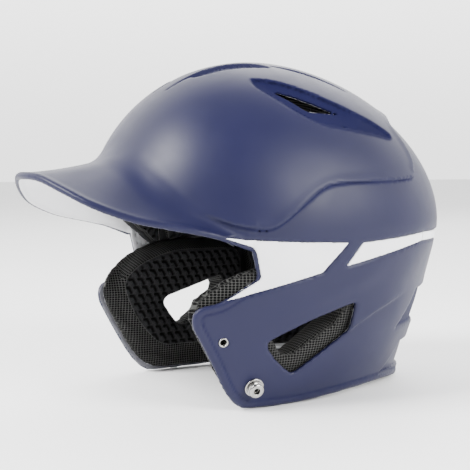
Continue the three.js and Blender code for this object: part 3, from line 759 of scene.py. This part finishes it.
def build_inlays():
    step = 0.7
    boxes = {"temple_inlay": ((66, -60, 65), (104, 25, 107)), "side_inlay": ((82, 20, 83), (104, 90, 106)),
             "rear_inlay": ((-94, 86, 96), (94, 146, 107))}
    for name, (low, high) in boxes.items():
        def near(x, y, z, zone=SEAT_ZONES[name]):
            return (np.abs(hull_value(x, y, z)) < 0.12) & (zone(y, z) < 2)

        made = netted(inlay_field(SEAT_ZONES[name]), low, high, step, near)
        if name == "rear_inlay":
            fit(mesh_object("rear_inlay_stripe", *made), "inlay", name)
            continue
        fit(mesh_object(f"{name}_panel_left", *made), "inlay", f"{name}_left")
        fit(mesh_object(f"{name}_panel_right", *mirrored(*made)), "inlay", f"{name}_right")


def slab_field(depths, zone, rounding):
    """A layer between two depths under the hull, inside a zone."""
    def field(x, y, z):
        distance, _ = hull_distance(x, y, z)
        under_shell = distance - relief(np.abs(x), y, z, SOFT_RELIEF) + WALL + LAYER_GAP
        slab = smooth_max(np.maximum(distance + depths[0], under_shell), -distance - depths[1], rounding)
        return smooth_max(slab, zone(x, y, z), rounding)
    return field


def flap_pad_field(x, y, z):
    """A ring-shaped pad whose side flares from its face outline to its base outline at the shell."""
    distance, _ = hull_distance(x, y, z)
    under = -distance - FLAP_PAD_DEPTH
    slab = smooth_max(smooth_min(FLAP_PAD_FACE_X + 0.8 - x, under - FLAP_PAD_THIN, 4), -under, 3)
    flare = np.clip((x - FLAP_PAD_FACE_X) / np.maximum(x - FLAP_PAD_FACE_X + np.maximum(under, 0), 1), 0, 1) ** 0.6
    flare = np.maximum(flare, ease(FLAP_PAD_THIN + 1, FLAP_PAD_THIN - 3, under))
    edge = mix(outline_distance(FLAP_PAD, y, z, 30) + 0.8, outline_distance(FLAP_PAD_BASE, y, z, 30), flare)
    ring = smooth_max(edge, 0.5 - outline_distance(FLAP_PAD_HOLE, y, z, 30), 2)
    return smooth_max(slab, ring, 2.5)


PUFF_FRAMES = 15


def puff(obj, cap, free):
    """Swells a pad with a short cloth simulation; free is how far each point may follow it, from 0 to 1.

    No cloth modifier stays on the pad: its result is applied, with every move capped.
    """
    rest = points_of(obj)
    cloth = obj.modifiers.new("cloth", "CLOTH")
    cloth.settings.quality = 5
    cloth.settings.use_pressure = True
    cloth.settings.uniform_pressure_force = 4
    cloth.settings.effector_weights.gravity = 0
    for step in range(1, PUFF_FRAMES + 1):
        bpy.context.scene.frame_set(step)
    evaluated = obj.evaluated_get(bpy.context.evaluated_depsgraph_get())
    swollen = np.zeros(rest.size, np.float32)
    evaluated.data.vertices.foreach_get("co", swollen)
    obj.modifiers.clear()
    bpy.context.scene.frame_set(1)
    move = swollen.reshape(-1, 3) / MM - rest
    length = np.linalg.norm(move, axis=1)
    move *= (np.minimum(length, cap) / np.maximum(length, 1e-6) * free)[:, None]
    move_points(obj, rest + move)


def chevrons(u, v):
    """Depth of the small hooked dents pressed into a pad's face, from 0 to 1."""
    across, up = DENT_PITCH
    row = np.floor(v / up)
    a = (u + across / 2 * (row % 2)) % across
    b = v - row * up

    def stroke(au, av, bu, bv):
        eu, ev = bu - au, bv - av
        t = np.clip(((a - au) * eu + (b - av) * ev) / (eu * eu + ev * ev), 0, 1)
        return np.hypot(a - au - eu * t, b - av - ev * t)

    near = np.minimum(stroke(1.2, 4.4, 3.6, 4.4), stroke(3.6, 4.4, 5.2, 1.2))
    return ease(1.35, 0.6, near)


def build_pad(name, node, made, free, face, around, cap=3.0):
    """A stuffed pad: swollen by cloth simulation, subdivided, then dented on its face.

    free gives how far each point may swell, face how squarely it faces the head, and around its place in the
    side mesh and on the flat face.
    """
    pad = mesh_object(name, *made)
    puff(pad, cap, free(points_of(pad)))
    subdivided(pad, 2)
    points, normals = points_of(pad), normals_of(pad)
    towards = face(points, normals)
    weave, flat = around(points, normals)
    dents = chevrons(*flat) * ease(0.75, 0.92, towards)
    move_points(pad, points - normals * (DENT_DEPTH * dents)[:, None])
    # dent also darkens the dents' colour in the pad material: painted shade
    set_attribute(pad, "dent", dents)
    set_attribute(pad, "band", ease(0.85, 0.45, towards))
    set_attribute(pad, "weave", weave)
    fit(pad, "pad_fabric", node)
    return pad


def build_flap_pads():
    def everywhere(x, y, z):
        return np.ones(x.shape, bool)

    def free(points):
        distance, _ = hull_distance(*points.T)
        return ease(-7, -11, distance)

    def around(points, normals):
        x, y, z = points.T
        rows = np.abs(x) + np.maximum(outline_distance(FLAP_PAD, y, z, 30), 0)
        (outer, to_outer), (inner, to_inner) = along_outline(FLAP_PAD, y, z), along_outline(FLAP_PAD_HOLE, y, z)
        length = np.where(to_outer < to_inner, outer, inner)
        flat = np.abs(normals[:, 0]) > 0.75
        return np.stack([np.where(flat, y, length), np.where(flat, z, rows), 0 * rows], 1), (y, z)

    left = netted(flap_pad_field, (54, -72, 2), (104, 52, 98), 3.0, everywhere)
    for side, name, made in ((1, "left", left), (-1, "right", mirrored(*left))):
        def face(points, normals, side=side):
            inside = ease(2.5, -0.5, outline_distance(FLAP_PAD, points[:, 1], points[:, 2], 30))
            return np.minimum(-side * normals[:, 0], inside)

        build_pad(f"flap_cushion_{name}", f"flap_pad_{name}", made, free, face, around)


def build_head_pads():
    """The liners and pads that follow the hull under the brow, back, crown and sides."""
    step = 4.2
    zones = {
        "brow": (lambda x, y, z: outline_distance(BROW_PAD, y, z, 30), (-96, -110, 84), (96, -8, 192)),
        "rear": (lambda x, y, z: outline_distance(REAR_PAD, y, z, 30), (-96, 44, 6), (96, 148, 164)),
        "crown": (lambda x, y, z: outline_distance(CROWN_PAD, x, y, 30), (-50, -34, 160), (50, 74, 218)),
        "side": (lambda x, y, z: outline_distance(SIDE_PAD, y, z, 30), (46, -20, 84), (104, 62, 174)),
    }

    def free(points):
        distance, _ = hull_distance(*points.T)
        return ease(-14, -17, distance)

    def face(points, normals):
        _, outward = hull_distance(*points.T)
        return -(normals * outward.T).sum(1)

    for name, (zone, low, high) in zones.items():
        def around(points, normals, crown=name == "crown"):
            x, y, z = points.T
            distance, _ = hull_distance(x, y, z)
            turn = np.arctan2(y - 20, x) * 95
            return np.stack([turn + z, distance, 0 * distance], 1), (x, y) if crown else (turn, z)

        def pad_zone(x, y, z, zone=zone):
            return zone(x, y, z) + PAD_SHRINK[2]

        liner = netted(slab_field(LINER, zone, 3), low, high, step * 0.6)
        soft = netted(slab_field((PAD[0] + PAD_SHRINK[0], PAD[1] - PAD_SHRINK[1]), pad_zone, 4), low, high, step)
        sides = [("", liner, soft)]
        if name == "side":
            sides = [("_left", liner, soft), ("_right", mirrored(*liner), mirrored(*soft))]
        for end, liner_mesh, pad_mesh in sides:
            fit(mesh_object(f"{name}_foam{end}", *liner_mesh), "liner_foam", f"{name}_liner{end}")
            build_pad(f"{name}_cushion{end}", f"{name}_pad{end}", pad_mesh, free, face, around, cap=2.5)


def turned(name, profile, place, axis, segments=64):
    """A closed ring turned about an axis; the profile is given as (radius, height)."""
    profile = np.array(profile, float)
    across = axis.orthogonal().normalized()
    up = axis.cross(across)
    turn = np.linspace(0, 2 * np.pi, segments, endpoint=False)
    rings = [np.array(place) + h * np.array(axis) + r * (np.outer(np.cos(turn), across) + np.outer(np.sin(turn), up))
             for r, h in profile]
    count = len(profile)
    faces = []
    for i in range(count):
        for j in range(segments):
            k, m = (i + 1) % count, (j + 1) % segments
            faces.append((i * segments + j, i * segments + m, k * segments + m, k * segments + j))
    obj = mesh_object(name, np.vstack(rings), faces)
    bevel = obj.modifiers.new("bevel", "BEVEL")
    bevel.width, bevel.segments, bevel.limit_method = 0.2 * MM, 3, "ANGLE"
    applied(obj)
    obj.data.set_sharp_from_angle(angle=math.radians(50))
    return obj


def build_hardware():
    for side in ("left", "right"):
        place, axis = hardware_place("chin_snap", "chin_snap_washer", side, WASHER_MIDDLE)
        for part, profile in SNAP_PROFILES.items():
            fit(turned(f"snap_{part}_{side}", profile, place, axis), "nickel", f"chin_snap_{part}_{side}")
        place, axis = hardware_place("faceguard_nut", "faceguard_nut", side, NUT_MIDDLE)
        fit(turned(f"guard_nut_{side}", NUT_PROFILE, place, axis), "nickel", f"faceguard_nut_{side}")


def finish_frame():
    """Looks for the CAD nodes that stay: hook patches and the foam inside the flap pads."""
    for name, node in frame["nodes"].items():
        for slot, key in (("hook_patch", "hook_patch"), ("liner_foam", "foam")):
            if key in name:
                node.data.materials.clear()
                node.data.materials.append(LOOK[slot])


# ---- studio ----

FLOOR_HALF, FLOOR_DROP = 12.0, 0.0002
# The world is bright all round, dim in one upper quarter and a little dimmer at the horizon.
DIM_TOWARDS, DIM_FROM, DIM_TO = (0.62, -0.36, 0.70), 0.05, 0.6
WORLD_STRENGTH, HORIZON_SHARE, HORIZON_HEIGHT = (3.8, 0.45), 0.66, 0.25
# Lamps as (place, target, size, power).
LAMPS = {"key": ((-0.14, -1.46, 1.33), (0, 0, 0.1), 0.8, 95),
         "fill": ((1.6, 0.6, 0.9), (0, 0, 0.1), 1.0, 66),
         "back": ((-1.2, 1.4, 1.8), (0, 0, 0), 1.6, 25)}
CAMERA_PLACE, CAMERA_TURN, CAMERA_RISE = (0.5714, -0.3280, 0.1425), 60, 3.7
CAMERA_LENS, CAMERA_SENSOR = 75.98, 36


def build_floor():
    size = FLOOR_HALF / MM
    floor = mesh_object("studio_floor", np.array([(-size, -size, 0), (size, -size, 0), (size, size, 0),
                                                  (-size, size, 0)]), [(0, 1, 2, 3)])
    floor.location.z = -FLOOR_DROP
    floor.data.materials.append(floor_material())


def build_world():
    world = bpy.data.worlds.new("studio")
    bpy.context.scene.world = world
    world.use_nodes = True
    tree = world.node_tree
    background = tree.nodes["Background"]
    background.inputs["Color"].default_value = (1, 1, 1, 1)

    def ranged(source, values, interpolation):
        node = tree.nodes.new("ShaderNodeMapRange")
        node.interpolation_type = interpolation
        for key, value in zip(("From Min", "From Max", "To Min", "To Max"), values):
            node.inputs[key].default_value = value
        tree.links.new(source, node.inputs["Value"])
        return node.outputs[0]

    direction = tree.nodes.new("ShaderNodeTexCoord").outputs["Generated"]
    towards = tree.nodes.new("ShaderNodeVectorMath")
    towards.operation = "DOT_PRODUCT"
    towards.inputs[1].default_value = Vector(DIM_TOWARDS).normalized()
    height = tree.nodes.new("ShaderNodeSeparateXYZ")
    strength = tree.nodes.new("ShaderNodeMath")
    strength.operation = "MULTIPLY"
    tree.links.new(direction, towards.inputs[0])
    tree.links.new(direction, height.inputs[0])
    sky = ranged(towards.outputs["Value"], (DIM_FROM, DIM_TO, *WORLD_STRENGTH), "LINEAR")
    horizon = ranged(height.outputs[2], (0.0, HORIZON_HEIGHT, HORIZON_SHARE, 1.0), "SMOOTHSTEP")
    tree.links.new(sky, strength.inputs[0])
    tree.links.new(horizon, strength.inputs[1])
    tree.links.new(strength.outputs[0], background.inputs["Strength"])


def build_lamps():
    for name, (place, target, size, power) in LAMPS.items():
        light = bpy.data.lights.new(name, "AREA")
        light.energy, light.size = power, size
        obj = bpy.data.objects.new(name, light)
        obj.location = place
        obj.rotation_euler = (Vector(target) - Vector(place)).to_track_quat("-Z", "Y").to_euler()
        bpy.context.scene.collection.objects.link(obj)


def build_camera():
    """The photograph's view, as solved from the outline."""
    turn, rise = math.radians(CAMERA_TURN), math.radians(CAMERA_RISE)
    back = Vector((math.sin(turn) * math.cos(rise), -math.cos(turn) * math.cos(rise), math.sin(rise)))
    right = Vector((math.cos(turn), math.sin(turn), 0))
    up = back.cross(right)
    camera = bpy.data.objects.new("camera", bpy.data.cameras.new("camera"))
    camera.data.lens, camera.data.sensor_width = CAMERA_LENS, CAMERA_SENSOR
    axes = Matrix((right, up, back)).transposed().to_4x4()
    camera.matrix_world = Matrix.Translation(CAMERA_PLACE) @ axes
    bpy.context.scene.collection.objects.link(camera)
    bpy.context.scene.camera = camera


build_camera()
build_floor()
build_world()
build_lamps()
build_shell()
build_inlays()
build_flap_pads()
build_head_pads()
build_hardware()
finish_frame()
